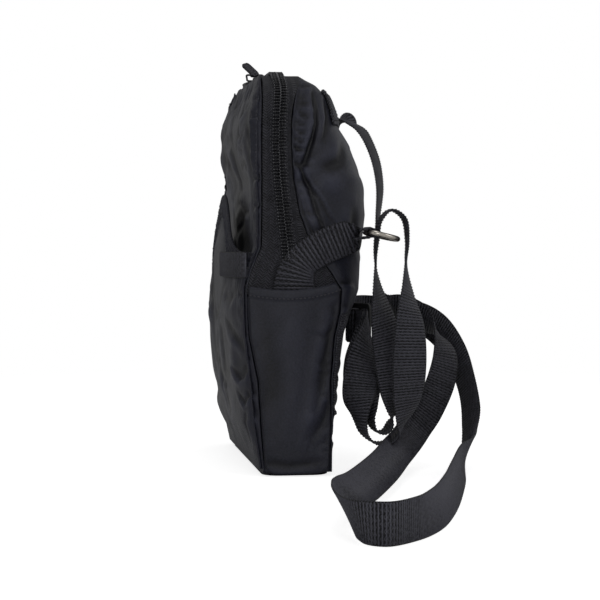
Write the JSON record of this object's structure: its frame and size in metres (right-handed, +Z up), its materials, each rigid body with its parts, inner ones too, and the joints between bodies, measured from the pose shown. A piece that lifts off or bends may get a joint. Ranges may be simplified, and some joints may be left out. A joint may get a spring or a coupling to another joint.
{
  "type": "small shoulder bag",
  "caption": "Upright soft nylon shoulder bag: zipped main space, gaping front pocket, flat end pockets, metal rings and one long webbing strap.",
  "frame": {"origin": "middle of the bag's underside, on the floor it stands on", "axes": "+X towards the end with the strap's doubled loop, -Y towards the front pocket, +Z up"},
  "size_m": [0.4296, 0.1518, 0.2494],
  "materials": {
    "black_nylon": "woven nylon with a soft sheen",
    "black_webbing": "ribbed webbing",
    "lining_cloth": "matt lining",
    "black_zip": "satin coil",
    "silver_metal": "polished, worn",
    "black_plastic": "satin"
  },
  "bodies": {
    "bag": {"front_panel": "black_nylon", "back_panel": "black_nylon", "gusset_near": "black_nylon", "gusset_far": "black_nylon", "base_panel": "black_nylon", "lining": "lining_cloth", "zip_tape_front": "black_nylon", "zip_tape_back": "black_nylon", "zip_teeth_front": "black_zip", "zip_teeth_back": "black_zip", "zip_end_cover": "black_nylon", "side_pocket_near": "black_nylon", "side_pocket_far": "black_nylon", "front_pocket": "black_nylon", "front_pocket_band": "black_webbing", "back_edge_patch": "black_webbing", "strap_anchor_near": "black_webbing", "strap_anchor_far": "black_webbing", "strap_adjuster": "black_plastic", "shoulder_strap": "black_webbing"},
    "slider": {"zip_slider": "silver_metal"},
    "puller": {"zip_puller": "silver_metal", "zip_pull_tab": "black_webbing"},
    "near_ring": {"ring_near": "silver_metal"},
    "far_ring": {"ring_far": "silver_metal"}
  },
  "joints": [
    {"name": "slider_run", "type": "slide", "parent": "bag", "child": "slider", "axis": [1, 0, 0], "range_m": [0, 0.086]},
    {"name": "puller_swing", "type": "hinge", "parent": "slider", "child": "puller", "pos_m": [-0.04, -0.01, 0.23675], "axis": [0, 1, 0], "range_deg": [-25, 125]},
    {"name": "near_ring_swing", "type": "hinge", "parent": "bag", "child": "near_ring", "pos_m": [0.09, 0.0392, 0.1395], "axis": [1, 0, 0], "range_deg": [-20, 29]},
    {"name": "far_ring_swing", "type": "hinge", "parent": "bag", "child": "far_ring", "pos_m": [-0.09, 0.0392, 0.1395], "axis": [1, 0, 0], "range_deg": [-15, 15]}
  ]
}
